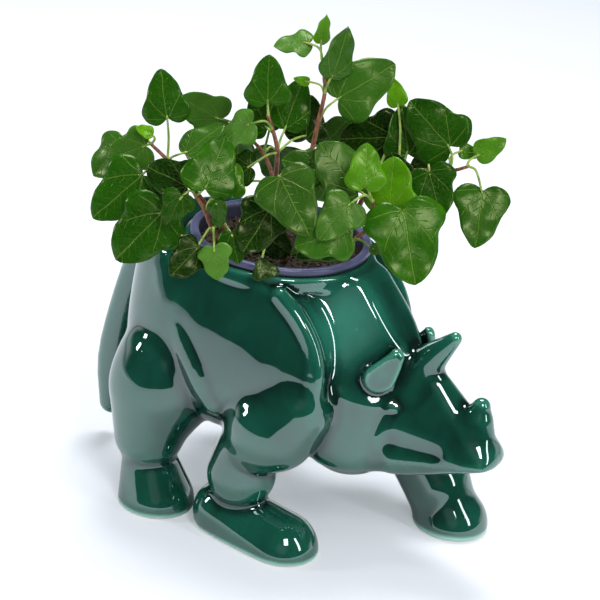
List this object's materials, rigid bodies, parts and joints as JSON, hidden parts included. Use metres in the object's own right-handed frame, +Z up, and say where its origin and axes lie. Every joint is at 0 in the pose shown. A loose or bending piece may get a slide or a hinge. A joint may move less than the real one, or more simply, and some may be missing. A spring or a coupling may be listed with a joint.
{
  "type": "animal planter",
  "caption": "Glazed ceramic planter shaped as a standing rhinoceros, with a round well in its back that holds a potted ivy.",
  "frame": {"origin": "on the table, under the middle of the bounding box of the whole, plant included", "axes": "+X towards the animal's nose, +Y to the animal's left, +Z up"},
  "size_m": [0.3102, 0.1887, 0.3455],
  "materials": {
    "glaze": "glossy emerald green glaze",
    "pot": "thin satin plastic",
    "soil": "loose damp peat",
    "ivy": "waxy leaves on woody stems"
  },
  "bodies": {
    "planter": {"torso": "glaze", "head": "glaze", "right_ear": "glaze", "left_ear": "glaze", "brow_horn": "glaze", "nose_horn": "glaze", "tail": "glaze", "right_foreleg": "glaze", "left_foreleg": "glaze", "right_hind_leg": "glaze", "left_hind_leg": "glaze"},
    "potted_ivy": {"nursery_pot": "pot", "potting_mix": "soil", "left_vine": "ivy", "left_front_vine": "ivy", "middle_vine": "ivy", "top_vine": "ivy", "right_vine": "ivy", "right_front_vine": "ivy", "front_vine": "ivy", "rear_vine": "ivy"}
  },
  "joints": [
    {"name": "pot_lift", "type": "slide", "parent": "planter", "child": "potted_ivy", "axis": [0, 0, 1], "range_m": [0, 0.12]}
  ]
}
